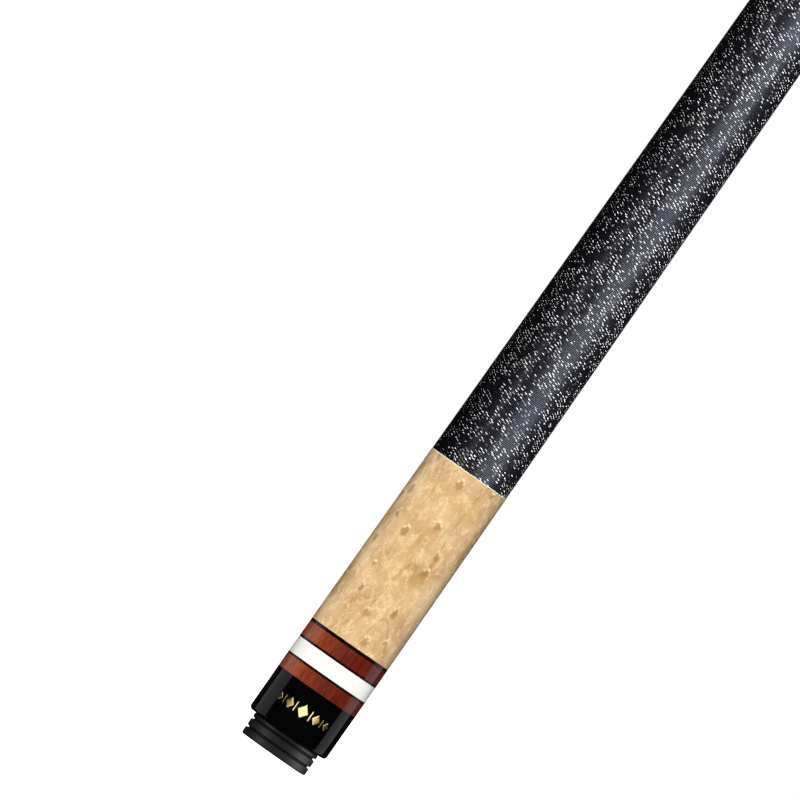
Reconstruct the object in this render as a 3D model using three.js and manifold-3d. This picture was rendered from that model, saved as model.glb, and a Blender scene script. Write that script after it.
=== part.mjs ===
// A two-piece pool cue that stands on its bumper with its tip up. Millimetres. +Z runs along the cue
// from the bumper to the tip, and the origin is the middle of the bumper's flat end.
import * as THREE from 'three';
import { mergeVertices } from 'three/addons/utils/BufferGeometryUtils.js';
import Module from 'manifold-3d';

const wasm = await Module();
wasm.setup();

// Driving dimensions
const CUE_LENGTH = 1448; // 57 in
const JOINT_Z = 710; // the joint face, where the cue parts
const JOINT_RADIUS = 10.8;
const TIP_RADIUS = 6.4; // a 12.8 mm tip
const GLUE_LINE = 0.02; // between stacked pieces
const FIT = 0.2; // radial room between a tenon and its bore
const JOINT_GAP = 0.1; // between the two joint faces
const ROUND_SIDES = 32; // facets round a turned piece
const SMALL_SIDES = 24; // facets round a small inner piece

// Outside of the butt: [height, radius], straight between points
const BUTT_TAPER = [
  [0, 14.65],
  [23, 14.77],
  [109, 14.38],
  [444, 12.65],
  [688.5, JOINT_RADIUS],
  [JOINT_Z, JOINT_RADIUS],
];
// Outside of the shaft, heights from the joint face: a cone, then a long near-parallel stroke
const SHAFT_TAPER = [
  [0, JOINT_RADIUS],
  [20, 10.72],
  [150, 9.7],
  [300, 8.1],
  [425, 6.9],
  [560, 6.55],
  [738, TIP_RADIUS],
];

// Bumper and cap
const BUMPER_RADIUS = 12.2;
const BUMPER_HEIGHT = 7.87;
const BUMPER_GROOVES = [2.87, 5.96]; // middle of each groove
const GROOVE_HALF_WIDTH = 0.4;
const GROOVE_DEPTH = 0.5;
const BUMPER_EDGE = 0.9; // rounding of the outer edges
const PLUG_RADIUS = 6.3;
const PLUG_TOP = 19.5;
const CAP_TOP = 24.43;
const CAP_EDGE = 1.2;
const CAP_COUNTERBORE = 19.8; // height at which the bore widens for the core's tenon

// Ring stack above the cap: [name, height, finish]
const BUTT_RINGS = [
  ['red_ring_low', 4.97, 'redWood'],
  ['trim_ring_low', 0.77, 'blackTrim'],
  ['white_ring', 5.7, 'whiteRing'],
  ['trim_ring_middle', 0.75, 'blackTrim'],
  ['red_ring_top', 5.26, 'redWood'],
  ['trim_ring_top', 1.13, 'blackTrim'],
];
const SLEEVE_TOP = 109.24;
const WRAP_TOP = 444;
const WRAP_THICKNESS = 0.75;
const FOREARM_TOP = 679.7;

// Ring stacks beside the joint: [name, height, finish], counted away from the joint face
const BUTT_JOINT_RINGS = [
  ['butt_collar_ring', 5.15, 'blackRing'],
  ['butt_silver_ring', 0.4, 'silver'],
  ['butt_thin_ring', 3.3, 'blackRing'],
];
const SHAFT_JOINT_RINGS = [
  ['shaft_collar_ring', 5.2, 'blackRing'],
  ['shaft_silver_ring', 0.4, 'silver'],
  ['shaft_thin_ring', 3.2, 'blackRing'],
];

// Core, studs and the weight bolt
const CORE_TENON_RADIUS = 8;
const CORE_BOTTOM = 20;
const BOLT_BORE_RADIUS = 5.1;
const BOLT_BORE_TOP = 75;
const STUD_RADIUS = 4;
const STUD_DEPTH = 32; // how far the stud reaches to each side of the wrap's front edge
const BOLT_BOTTOM = 35.2;
const BOLT_SOCKET_FLATS = 4.76; // 3/16 in hex key
const BOLT_SOCKET_DEPTH = 7;
const RATTLE_RING = { middleRadius: 3.9, sectionRadius: 0.95, bottom: 33.1 };

// Joint: collar, pilot, pin and insert
const COLLAR_BOTTOM = 688.55;
const FRONT_TENON_RADIUS = 6.9;
const FRONT_TENON_TOP = 703;
const PILOT_RADIUS = 7.45;
const PILOT_LENGTH = 5.4;
const RECESS_DEPTH = 6.7;
const PIN_ANCHOR_RADIUS = 3.9;
const PIN_ANCHOR_LENGTH = 36;
const PIN_NOSE_TOP = 730;
const INSERT_RADIUS = 6.2;
const INSERT_LENGTH = 18; // past the joint face
const SHAFT_TENON_RADIUS = 8.4;
const SHAFT_BORE_TOP = 24;

// Tip end, heights measured down from the top of the tip
const TIP_HEIGHT = 6.5;
const TIP_DOME_RADIUS = 9.5;
const PAD_HEIGHT = 0.9;
const FERRULE_LENGTH = 25.4;
const FERRULE_TENON_RADIUS = 4;
const FERRULE_TENON_LENGTH = 20.8;

// Screw threads, both right-handed with a 60 degree tooth
const TOOTH_FLANK = 0.35; // of the pitch
const TOOTH_CREST = 0.13;
const TOOTH_ROOT = 1 - 2 * TOOTH_FLANK - TOOTH_CREST;
const PIN_THREAD = { pitch: 25.4 / 14, turns: 12, root: 2.87, crest: 3.97, bottom: 703.4, sides: 16 };
const BOLT_THREAD = { pitch: 25.4 / 16, turns: 14, root: 3.81, crest: 4.76, bottom: 36, sides: 12 };
const THREAD_ROOM = { radial: 0.18, axial: 0.12 }; // between the pin's thread and the insert's

const finishes = {
  maple: { color: 0xdcc19a, roughness: 0.25, metalness: 0 },
  coreWood: { color: 0xcfae80, roughness: 0.6, metalness: 0 },
  redWood: { color: 0x7a3a2b, roughness: 0.25, metalness: 0 },
  blackTrim: { color: 0x120808, roughness: 0.2, metalness: 0 },
  blackRing: { color: 0x070606, roughness: 0.15, metalness: 0 },
  whiteRing: { color: 0xf6f3ec, roughness: 0.2, metalness: 0 },
  silver: { color: 0xd9d9dc, roughness: 0.2, metalness: 1 },
  steel: { color: 0xc8c8cc, roughness: 0.12, metalness: 1 },
  dullSteel: { color: 0x8e8e92, roughness: 0.4, metalness: 1 },
  brass: { color: 0xc9a24e, roughness: 0.3, metalness: 1 },
  linen: { color: 0x17171b, roughness: 0.6, metalness: 0 },
  blackCap: { color: 0x050505, roughness: 0.1, metalness: 0 },
  rubber: { color: 0x2a2a2a, roughness: 0.7, metalness: 0 },
  ferruleWhite: { color: 0xf3f1e8, roughness: 0.25, metalness: 0 },
  fibre: { color: 0x7d1f1c, roughness: 0.7, metalness: 0 },
  leather: { color: 0x6f4a2c, roughness: 0.85, metalness: 0 },
};

// Radius of a taper at a height, by straight lines between its points.
function radiusAt(taper, height) {
  const next = Math.max(1, taper.findIndex(([z]) => z >= height));
  const [z0, r0] = taper[next - 1];
  const [z1, r1] = taper[next];
  return r0 + ((r1 - r0) * (height - z0)) / (z1 - z0);
}

// The taper's outline from one height to another, with the corners between them.
function taperOutline(taper, bottom, top) {
  const corners = taper.filter(([z]) => z > bottom && z < top).map(([z, r]) => [r, z]);
  return [[radiusAt(taper, bottom), bottom], ...corners, [radiusAt(taper, top), top]];
}

// A quarter circle of outline about a centre, between two angles in degrees from the +r direction.
function arc([centreRadius, centreHeight], radius, from, to, steps) {
  return Array.from({ length: steps + 1 }, (_, i) => {
    const angle = THREE.MathUtils.degToRad(from + ((to - from) * i) / steps);
    return [centreRadius + radius * Math.cos(angle), centreHeight + radius * Math.sin(angle)];
  });
}

// Turns an outline of [radius, height] points, listed anticlockwise, about the cue's axis.
function turned(outline, sides = ROUND_SIDES) {
  const points = outline.map(([radius, height]) => new THREE.Vector2(radius, height));
  return new THREE.LatheGeometry(points, sides).rotateX(Math.PI / 2);
}

// A tube whose outside follows a taper and whose bore is straight.
function taperedTube(taper, bottom, top, bore) {
  const outside = taperOutline(taper, bottom, top);
  return turned([[bore, bottom], ...outside, [bore, top], [bore, bottom]]);
}

// A screw: a tooth carried up a helix between two turned ends. Each end is an outline that joins the
// axis to the thread's root radius, and the tooth fades to nothing over half a turn at each end.
function screw(thread, lowerEnd, upperEnd, room = { radial: 0, axial: 0 }) {
  const { pitch, turns, sides } = thread;
  const root = thread.root + room.radial;
  const crest = thread.crest + room.radial;
  const bottom = thread.bottom + room.axial;
  const steps = turns * sides;
  const tooth = [
    [TOOTH_ROOT * pitch - 2 * room.axial, 0],
    [(TOOTH_ROOT + TOOTH_FLANK) * pitch - 2 * room.axial, 1],
    [(TOOTH_ROOT + TOOTH_FLANK + TOOTH_CREST) * pitch, 1],
  ];
  const positions = [];
  const indices = [];
  const point = (step, radius, height) => {
    const angle = (2 * Math.PI * step) / sides;
    return positions.push(radius * Math.cos(angle), radius * Math.sin(angle), height) / 3 - 1;
  };
  const fan = (hub, rim) => {
    for (let i = 0; i + 1 < rim.length; i += 1) indices.push(hub, rim[i], rim[i + 1]);
  };
  const ring = (radius, height) => Array.from({ length: sides }, (_, k) => point(k, radius, height));
  const band = (low, high) => low.forEach((_, k) => {
    const next = (k + 1) % sides;
    indices.push(low[k], low[next], high[next], low[k], high[next], high[k]);
  });

  const helix = Array.from({ length: steps + sides + 1 }, (_, i) => point(i, root, bottom + (pitch * i) / sides));
  const rows = Array.from({ length: steps + 1 }, (_, i) => {
    const fade = Math.min(1, Math.min(i, steps - i) / (sides / 2));
    const flank = tooth.map(([rise, height]) => point(
      i,
      root + (crest - root) * height * fade,
      bottom + (pitch * i) / sides + rise,
    ));
    return [helix[i], ...flank, helix[i + sides]];
  });
  for (let i = 0; i < steps; i += 1) {
    for (let j = 0; j + 1 < rows[i].length; j += 1) {
      indices.push(rows[i][j], rows[i + 1][j], rows[i + 1][j + 1]);
      indices.push(rows[i][j], rows[i + 1][j + 1], rows[i][j + 1]);
    }
  }

  const lowerRings = lowerEnd.slice(1).map(([radius, height]) => ring(radius, height));
  const upperRings = upperEnd.slice(0, -1).map(([radius, height]) => ring(radius, height));
  const footRing = lowerRings.at(-1);
  const headRing = upperRings[0];
  for (let k = 0; k + 1 < sides; k += 1) {
    indices.push(footRing[k], footRing[k + 1], helix[k + 1], footRing[k], helix[k + 1], helix[k]);
    const top = steps + k + 1;
    const next = (k + 2) % sides;
    indices.push(helix[top], helix[top + 1], headRing[next], helix[top], headRing[next], headRing[k + 1]);
  }
  fan(helix[sides - 1], [footRing[sides - 1], footRing[0], ...rows[0]]);
  fan(helix[steps + 1], [headRing[1], headRing[0], ...rows[steps].toReversed()]);
  for (let i = 0; i + 1 < lowerRings.length; i += 1) band(lowerRings[i], lowerRings[i + 1]);
  for (let i = 0; i + 1 < upperRings.length; i += 1) band(upperRings[i], upperRings[i + 1]);
  fan(point(0, 0, lowerEnd[0][1]), [...lowerRings[0], lowerRings[0][0]].toReversed());
  fan(point(0, 0, upperEnd.at(-1)[1]), [...upperRings.at(-1), upperRings.at(-1)[0]]);

  const geometry = new THREE.BufferGeometry();
  geometry.setAttribute('position', new THREE.Float32BufferAttribute(positions, 3));
  geometry.setIndex(indices);
  return geometry;
}

// A geometry as a manifold solid: shared vertices merged and flat triangles on the axis dropped.
function asSolid(geometry) {
  const plain = new THREE.BufferGeometry();
  plain.setAttribute('position', geometry.getAttribute('position'));
  plain.setIndex(geometry.getIndex());
  const merged = mergeVertices(plain, 1e-4);
  const triangles = [];
  const corners = merged.getIndex().array;
  for (let i = 0; i < corners.length; i += 3) {
    const [a, b, c] = corners.slice(i, i + 3);
    if (a !== b && b !== c && c !== a) triangles.push(a, b, c);
  }
  return new wasm.Manifold(new wasm.Mesh({
    numProp: 3,
    vertProperties: merged.getAttribute('position').array,
    triVerts: Uint32Array.from(triangles),
  }));
}

// One geometry with another cut out of it.
function carved(geometry, tool) {
  const mesh = asSolid(geometry).subtract(asSolid(tool)).getMesh();
  const cut = new THREE.BufferGeometry();
  cut.setAttribute('position', new THREE.Float32BufferAttribute(mesh.vertProperties, 3));
  cut.setIndex(new THREE.Uint32BufferAttribute(mesh.triVerts, 1));
  return cut;
}

// A named piece in a finish, raised to a height.
function piece(name, geometry, finish, height = 0) {
  const mesh = new THREE.Mesh(geometry, new THREE.MeshStandardMaterial(finishes[finish]));
  mesh.name = name;
  mesh.position.z = height;
  return mesh;
}

// Rings one on another from a height, upwards or downwards, with their outside on the taper.
function ringStack(rings, taper, from, direction, bore) {
  let height = from;
  return rings.map(([name, thickness, finish]) => {
    const bottom = direction > 0 ? height : height - thickness;
    height += direction * thickness;
    return piece(name, taperedTube(taper, bottom, bottom + thickness - GLUE_LINE, bore), finish);
  });
}

function bumper() {
  const edge = BUMPER_EDGE;
  const grooves = BUMPER_GROOVES.flatMap((middle) => [
    [BUMPER_RADIUS, middle - GROOVE_HALF_WIDTH],
    [BUMPER_RADIUS - GROOVE_DEPTH, middle - GROOVE_HALF_WIDTH / 2],
    [BUMPER_RADIUS - GROOVE_DEPTH, middle + GROOVE_HALF_WIDTH / 2],
    [BUMPER_RADIUS, middle + GROOVE_HALF_WIDTH],
  ]);
  const barbs = [11, 15].flatMap((height) => [
    [PLUG_RADIUS - 0.5, height],
    [PLUG_RADIUS, height + 0.8],
    [PLUG_RADIUS - 0.5, height + 2.4],
  ]);
  const top = BUMPER_HEIGHT - GLUE_LINE;
  return piece('bumper', turned([
    [0, 0],
    ...arc([BUMPER_RADIUS - edge, edge], edge, -90, 0, 3),
    ...grooves,
    ...arc([BUMPER_RADIUS - edge, top - edge], edge, 0, 90, 3),
    [PLUG_RADIUS - 0.5, top],
    ...barbs,
    [PLUG_RADIUS - 1.2, PLUG_TOP],
    [0, PLUG_TOP],
  ]), 'rubber');
}

function buttCap() {
  const bore = PLUG_RADIUS + FIT;
  const widerBore = CORE_TENON_RADIUS + FIT;
  const outside = radiusAt(BUTT_TAPER, BUMPER_HEIGHT);
  return piece('butt_cap', turned([
    [bore, BUMPER_HEIGHT],
    ...arc([outside - CAP_EDGE, BUMPER_HEIGHT + CAP_EDGE], CAP_EDGE, -90, 0, 3),
    ...taperOutline(BUTT_TAPER, BUMPER_HEIGHT + CAP_EDGE + GLUE_LINE, CAP_TOP - GLUE_LINE),
    [widerBore, CAP_TOP - GLUE_LINE],
    [widerBore, CAP_COUNTERBORE],
    [bore, CAP_COUNTERBORE],
    [bore, BUMPER_HEIGHT],
  ]), 'blackCap');
}

// The wood under the wrap: a long tenon down through the sleeve and rings, bored for the weight bolt,
// and a socket for the stud at its front end.
function handleCore() {
  const shoulder = SLEEVE_TOP + GLUE_LINE;
  const top = WRAP_TOP - GLUE_LINE;
  const clear = WRAP_THICKNESS + FIT / 2;
  return piece('handle_core', turned([
    [0, BOLT_BORE_TOP],
    [BOLT_BORE_RADIUS, BOLT_BORE_TOP],
    [BOLT_BORE_RADIUS, CORE_BOTTOM],
    [CORE_TENON_RADIUS, CORE_BOTTOM],
    [CORE_TENON_RADIUS, shoulder],
    [radiusAt(BUTT_TAPER, shoulder) - clear, shoulder],
    [radiusAt(BUTT_TAPER, top) - clear, top],
    [STUD_RADIUS + FIT, top],
    [STUD_RADIUS + FIT, WRAP_TOP - STUD_DEPTH - 2],
    [0, WRAP_TOP - STUD_DEPTH - 2],
  ]), 'coreWood');
}

function linenWrap() {
  const bottom = SLEEVE_TOP + GLUE_LINE;
  const top = WRAP_TOP - GLUE_LINE;
  const innerBottom = radiusAt(BUTT_TAPER, bottom) - WRAP_THICKNESS;
  const innerTop = radiusAt(BUTT_TAPER, top) - WRAP_THICKNESS;
  const outside = taperOutline(BUTT_TAPER, bottom, top);
  return piece(
    'linen_wrap',
    turned([[innerBottom, bottom], ...outside, [innerTop, top], [innerBottom, bottom]]),
    'linen',
  );
}

function aJointStud() {
  const grooves = [0.25, 0.5, 0.75, 1.25, 1.5, 1.75].flatMap((part) => {
    const height = WRAP_TOP - STUD_DEPTH + part * STUD_DEPTH;
    return [[STUD_RADIUS, height - 1], [STUD_RADIUS - 0.5, height], [STUD_RADIUS, height + 1]];
  });
  return piece('a_joint_stud', turned([
    [0, WRAP_TOP - STUD_DEPTH],
    [STUD_RADIUS, WRAP_TOP - STUD_DEPTH],
    ...grooves,
    [STUD_RADIUS, WRAP_TOP + STUD_DEPTH],
    [0, WRAP_TOP + STUD_DEPTH],
  ], SMALL_SIDES), 'dullSteel');
}

// The forearm, with the stud's socket behind and a tenon for the collar and rings in front.
function forearm() {
  const studBore = STUD_RADIUS + FIT;
  const pinBore = PIN_ANCHOR_RADIUS + FIT;
  return piece('forearm', turned([
    [0, WRAP_TOP + STUD_DEPTH + 2],
    [studBore, WRAP_TOP + STUD_DEPTH + 2],
    [studBore, WRAP_TOP],
    ...taperOutline(BUTT_TAPER, WRAP_TOP, FOREARM_TOP - GLUE_LINE),
    [FRONT_TENON_RADIUS, FOREARM_TOP - GLUE_LINE],
    [FRONT_TENON_RADIUS, FRONT_TENON_TOP],
    [pinBore, FRONT_TENON_TOP],
    [pinBore, FRONT_TENON_TOP - PIN_ANCHOR_LENGTH - 1],
    [0, FRONT_TENON_TOP - PIN_ANCHOR_LENGTH - 1],
  ]), 'maple');
}

function jointCollar() {
  const bore = FRONT_TENON_RADIUS + FIT;
  const recess = PILOT_RADIUS + FIT;
  const recessFloor = JOINT_Z - RECESS_DEPTH;
  return piece('joint_collar', turned([
    [bore, COLLAR_BOTTOM],
    [JOINT_RADIUS, COLLAR_BOTTOM],
    [JOINT_RADIUS, JOINT_Z - 0.3],
    [JOINT_RADIUS - 0.3, JOINT_Z],
    [recess + 0.4, JOINT_Z],
    [recess, JOINT_Z - 0.4],
    [recess, recessFloor],
    [bore, recessFloor],
    [bore, COLLAR_BOTTOM],
  ]), 'steel');
}

// The joint pin: a grooved anchor glued into the forearm, the thread, and a plain nose.
function jointPin() {
  const anchorTop = FRONT_TENON_TOP - 0.3;
  const anchorBottom = FRONT_TENON_TOP - PIN_ANCHOR_LENGTH;
  const grooves = [0.2, 0.4, 0.6, 0.8].flatMap((part) => {
    const height = anchorBottom + part * (anchorTop - anchorBottom);
    return [
      [PIN_ANCHOR_RADIUS, height - 0.8],
      [PIN_ANCHOR_RADIUS - 0.5, height],
      [PIN_ANCHOR_RADIUS, height + 0.8],
    ];
  });
  const lowerEnd = [
    [0, anchorBottom],
    [PIN_ANCHOR_RADIUS, anchorBottom],
    ...grooves,
    [PIN_ANCHOR_RADIUS, anchorTop],
    [PIN_THREAD.root, anchorTop + 0.2],
  ];
  const threadTop = PIN_THREAD.bottom + (PIN_THREAD.turns + 1) * PIN_THREAD.pitch;
  const upperEnd = [
    [PIN_THREAD.root, threadTop + 0.4],
    [PIN_THREAD.root, PIN_NOSE_TOP - 1.2],
    [PIN_THREAD.root - 1.2, PIN_NOSE_TOP],
    [0, PIN_NOSE_TOP],
  ];
  return piece('joint_pin', screw(PIN_THREAD, lowerEnd, upperEnd), 'steel');
}

// The brass insert, in the shaft's own heights: a pilot that fills the collar's recess, and a body
// glued into the shaft, tapped right through to take the pin.
function shaftInsert() {
  const blank = turned([
    [0, -PILOT_LENGTH],
    [PILOT_RADIUS - 0.5, -PILOT_LENGTH],
    [PILOT_RADIUS, 0.5 - PILOT_LENGTH],
    [PILOT_RADIUS, FIT],
    [INSERT_RADIUS, FIT],
    [INSERT_RADIUS, INSERT_LENGTH],
    [0, INSERT_LENGTH],
  ], SMALL_SIDES);
  const lead = 2 * PIN_THREAD.pitch;
  const thread = { ...PIN_THREAD, turns: PIN_THREAD.turns + 4, bottom: PIN_THREAD.bottom - JOINT_Z - lead };
  const root = thread.root + THREAD_ROOM.radial;
  const tapTop = thread.bottom + (thread.turns + 2) * thread.pitch;
  const lowerEnd = [[0, thread.bottom - 1], [root, thread.bottom - 1]];
  const upperEnd = [[root, tapTop], [0, tapTop]];
  return piece('shaft_insert', carved(blank, screw(thread, lowerEnd, upperEnd, THREAD_ROOM)), 'brass');
}

function shaftWood(ringTop, ferruleBottom) {
  const bore = INSERT_RADIUS + FIT;
  const noseBore = PIN_THREAD.root + 0.7;
  const boreStep = INSERT_LENGTH + FIT;
  return piece('shaft_wood', turned([
    [0, SHAFT_BORE_TOP],
    [noseBore, SHAFT_BORE_TOP],
    [noseBore, boreStep],
    [bore, boreStep],
    [bore, 2 * FIT],
    [SHAFT_TENON_RADIUS, 2 * FIT],
    [SHAFT_TENON_RADIUS, ringTop],
    ...taperOutline(SHAFT_TAPER, ringTop, ferruleBottom - GLUE_LINE),
    [FERRULE_TENON_RADIUS, ferruleBottom - GLUE_LINE],
    [FERRULE_TENON_RADIUS, ferruleBottom + FERRULE_TENON_LENGTH],
    [0, ferruleBottom + FERRULE_TENON_LENGTH],
  ]), 'maple');
}

function ferrule(bottom) {
  const bore = FERRULE_TENON_RADIUS + FIT;
  const boreTop = bottom + FERRULE_TENON_LENGTH + FIT;
  return piece('ferrule', turned([
    [0, boreTop],
    [bore, boreTop],
    [bore, bottom],
    ...taperOutline(SHAFT_TAPER, bottom, bottom + FERRULE_LENGTH - GLUE_LINE),
    [0, bottom + FERRULE_LENGTH - GLUE_LINE],
  ]), 'ferruleWhite');
}

function tipPad(bottom) {
  return piece('tip_pad', turned([
    [0, 0],
    [TIP_RADIUS, 0],
    [TIP_RADIUS, PAD_HEIGHT - GLUE_LINE],
    [0, PAD_HEIGHT - GLUE_LINE],
  ], SMALL_SIDES), 'fibre', bottom);
}

// The leather tip: straight sides under a dome that is part of a sphere.
function leatherTip(bottom) {
  const edgeAngle = THREE.MathUtils.radToDeg(Math.acos(TIP_RADIUS / TIP_DOME_RADIUS));
  const dome = arc([0, TIP_HEIGHT - TIP_DOME_RADIUS], TIP_DOME_RADIUS, edgeAngle, 90, 5);
  dome[dome.length - 1][0] = 0;
  return piece('leather_tip', turned([[0, 0], [TIP_RADIUS, 0], ...dome], SMALL_SIDES), 'leather', bottom);
}

// The weight bolt: a set screw with a hex socket in the end that faces the bumper.
function weightBolt() {
  const { pitch, turns, root, bottom } = BOLT_THREAD;
  const threadTop = bottom + (turns + 1) * pitch;
  const lowerEnd = [[0, BOLT_BOTTOM], [root - 0.4, BOLT_BOTTOM], [root, BOLT_BOTTOM + 0.5]];
  const upperEnd = [[root, threadTop + 0.3], [root - 0.8, threadTop + 1.1], [0, threadTop + 1.1]];
  const socket = new THREE.CylinderGeometry(
    BOLT_SOCKET_FLATS / Math.sqrt(3),
    BOLT_SOCKET_FLATS / Math.sqrt(3),
    2 * BOLT_SOCKET_DEPTH,
    6,
  ).rotateX(Math.PI / 2).translate(0, 0, BOLT_BOTTOM);
  return piece('weight_bolt', carved(screw(BOLT_THREAD, lowerEnd, upperEnd), socket), 'dullSteel');
}

function boltRing() {
  const { middleRadius, sectionRadius, bottom } = RATTLE_RING;
  return piece('bolt_ring', turned(
    arc([middleRadius, bottom + sectionRadius], sectionRadius, -180, 180, 8),
    SMALL_SIDES,
  ), 'rubber');
}

function buttHalf() {
  const half = new THREE.Group();
  const coreBore = CORE_TENON_RADIUS + FIT;
  const tenonBore = FRONT_TENON_RADIUS + FIT;
  const sleeveBottom = CAP_TOP + BUTT_RINGS.reduce((sum, [, thickness]) => sum + thickness, 0);
  half.add(
    bumper(),
    buttCap(),
    ...ringStack(BUTT_RINGS, BUTT_TAPER, CAP_TOP, 1, coreBore),
    piece('butt_sleeve', taperedTube(BUTT_TAPER, sleeveBottom, SLEEVE_TOP, coreBore), 'maple'),
    handleCore(),
    linenWrap(),
    aJointStud(),
    forearm(),
    ...ringStack(BUTT_JOINT_RINGS, BUTT_TAPER, COLLAR_BOTTOM, -1, tenonBore),
    jointCollar(),
    jointPin(),
    weightBolt(),
    boltRing(),
  );
  return half;
}

function shaftHalf() {
  const half = new THREE.Group();
  half.position.z = JOINT_Z;
  const ringTop = SHAFT_JOINT_RINGS.reduce((sum, [, thickness]) => sum + thickness, 0);
  const tipBottom = CUE_LENGTH - JOINT_Z - TIP_HEIGHT;
  const padBottom = tipBottom - PAD_HEIGHT;
  const ferruleBottom = padBottom - FERRULE_LENGTH;
  const rings = new THREE.Group();
  rings.position.z = JOINT_GAP;
  rings.add(...ringStack(SHAFT_JOINT_RINGS, SHAFT_TAPER, 0, 1, SHAFT_TENON_RADIUS + FIT));
  half.add(
    rings,
    shaftInsert(),
    shaftWood(ringTop + JOINT_GAP, ferruleBottom),
    ferrule(ferruleBottom),
    tipPad(padBottom),
    leatherTip(tipBottom),
  );
  return half;
}

const cue = new THREE.Group();
cue.add(buttHalf(), shaftHalf());

export default cue;
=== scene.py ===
import math

import bmesh
import bpy
import numpy as np
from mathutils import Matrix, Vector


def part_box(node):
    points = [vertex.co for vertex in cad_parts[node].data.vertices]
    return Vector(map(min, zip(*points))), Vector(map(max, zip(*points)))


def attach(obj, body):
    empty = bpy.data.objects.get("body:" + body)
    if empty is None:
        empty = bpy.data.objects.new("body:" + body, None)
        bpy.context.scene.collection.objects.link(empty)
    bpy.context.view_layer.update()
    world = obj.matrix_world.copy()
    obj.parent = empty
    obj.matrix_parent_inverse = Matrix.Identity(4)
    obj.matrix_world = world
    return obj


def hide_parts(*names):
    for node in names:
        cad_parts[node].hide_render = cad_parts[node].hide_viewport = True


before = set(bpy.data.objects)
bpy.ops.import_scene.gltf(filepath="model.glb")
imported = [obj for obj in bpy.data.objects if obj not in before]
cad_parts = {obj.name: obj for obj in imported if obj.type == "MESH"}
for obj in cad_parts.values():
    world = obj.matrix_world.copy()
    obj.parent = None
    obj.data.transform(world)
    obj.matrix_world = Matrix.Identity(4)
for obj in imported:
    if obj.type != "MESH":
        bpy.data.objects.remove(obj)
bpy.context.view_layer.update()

mm = 0.001              # every size below is in millimetres
glueLine = 0.02         # gap between stacked pieces
scene = bpy.context.scene


# What the frame says: heights, widths and the cue's outside

cadPoints = {}
for nodeName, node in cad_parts.items():
    flat = np.zeros(len(node.data.vertices) * 3)
    node.data.vertices.foreach_get("co", flat)
    cadPoints[nodeName] = flat.reshape(-1, 3) / mm

# the skin of the cue: going down from the tip it only gets wider, so a point that is as wide as
# everything at its height and above lies on the outside
skinTolerance = 0.002
everyPoint = np.concatenate(list(cadPoints.values())).round(3)
radii, heights = np.hypot(everyPoint[:, 0], everyPoint[:, 1]), everyPoint[:, 2]
fromTip = np.lexsort((-radii, -heights))
widestSoFar = np.maximum.accumulate(radii[fromTip])
onSkin = fromTip[radii[fromTip] >= widestSoFar - skinTolerance][::-1]
skinHeights, skinRadii = heights[onSkin], radii[onSkin]


def outsideAt(height):
    # the cue's radius, straight between the frame's own points
    return np.interp(height, skinHeights, skinRadii)


def heightsOf(nodeName):
    lowest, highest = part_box(nodeName)
    return lowest.z / mm, highest.z / mm


def widestOf(nodeName):
    return np.hypot(cadPoints[nodeName][:, 0], cadPoints[nodeName][:, 1]).max()


def narrowestOf(nodeName):
    return np.hypot(cadPoints[nodeName][:, 0], cadPoints[nodeName][:, 1]).min()


# Materials

def srgb(hexColour):
    # sRGB hex to the linear colour that a socket takes
    channels = [int(hexColour[i:i + 2], 16) / 255 for i in (1, 3, 5)]
    return [c / 12.92 if c <= 0.04045 else ((c + 0.055) / 1.055) ** 2.4 for c in channels] + [1]


def addNode(tree, kind, settings, inputs):
    # one shader node: its settings, then each input set, or linked where it is given a socket
    node = tree.nodes.new("ShaderNode" + kind)
    for setting, value in settings.items():
        setattr(node, setting, value)
    for socket, value in inputs.items():
        if isinstance(value, bpy.types.NodeSocket):
            tree.links.new(value, node.inputs[socket])
        else:
            node.inputs[socket].default_value = value
    return node.outputs


colourMix = {"data_type": "RGBA"}    # a Mix of colours: socket 0 is the share of 7 over 6


def newMaterial(name, shaderValues):
    # a Principled material, and the place on the piece in millimetres
    material = bpy.data.materials.new(name)
    material.use_nodes = True
    tree = material.node_tree
    shader = tree.nodes["Principled BSDF"]
    for socket, value in shaderValues.items():
        shader.inputs[socket].default_value = value
    onPiece = addNode(tree, "TexCoord", {}, {})["Object"]
    place = addNode(tree, "VectorMath", {"operation": "SCALE"}, {0: onPiece, "Scale": 1 / mm})[0]
    return material, tree, shader, place


def noiseField(tree, place, size, detail, bend=0.0):
    # a noise whose blots measure about the given mm along x, y and z
    sized = addNode(tree, "VectorMath", {"operation": "DIVIDE"}, {0: place, 1: size})[0]
    return addNode(tree, "TexNoise", {}, {"Vector": sized, "Scale": 1, "Detail": detail,
                                          "Distortion": bend})[0]


noiseSpan = {"tone": (0.34, 0.66), "wear": (0.3, 0.7)}    # most of a noise texture lies between


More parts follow.
